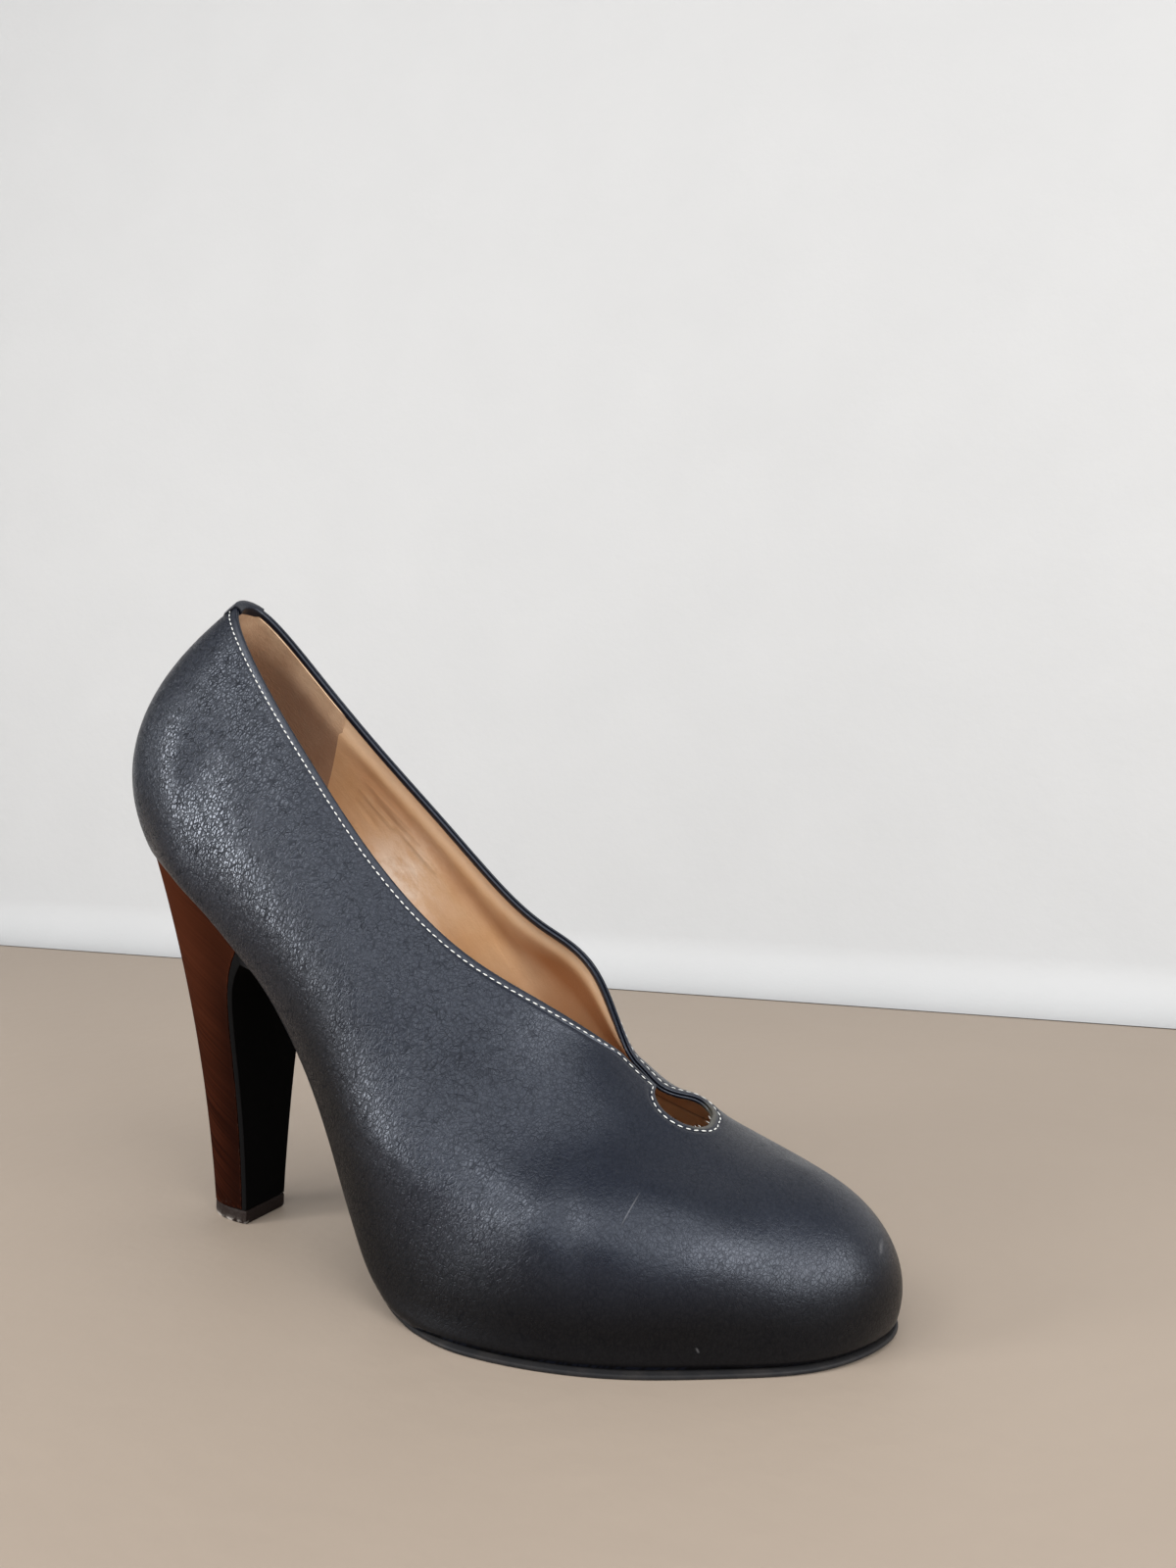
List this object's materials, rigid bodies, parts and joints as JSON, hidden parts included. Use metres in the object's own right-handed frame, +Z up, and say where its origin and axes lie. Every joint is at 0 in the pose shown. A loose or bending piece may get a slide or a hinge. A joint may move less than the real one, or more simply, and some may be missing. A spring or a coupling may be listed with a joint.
{
  "type": "cut-out pump",
  "caption": "High-heeled leather pump for the right foot with a keyhole cut-out at the throat, a covered platform and a stacked heel.",
  "frame": {"origin": "tread point: on the floor, on the flat of the outsole under the ball of the foot, on the heel's centre line", "axes": "+X to the toe, +Y to the medial side of the right foot, +Z up"},
  "size_m": [0.2166, 0.0875, 0.1744],
  "materials": {
    "black_leather": "fine-grained black leather, semi-matte",
    "tan_lining": "smooth tan lining leather, worn",
    "sole_black": "thin black sole with a painted edge",
    "stacked_heel": "dark brown stacked layers, lacquered",
    "lift_rubber": "black wearing piece, scuffed at its lower edge"
  },
  "bodies": {
    "root": {"upper": "black_leather", "insole": "tan_lining", "outsole": "sole_black", "heel": "stacked_heel", "top_lift": "lift_rubber", "heel_tab": "black_leather"}
  },
  "joints": []
}
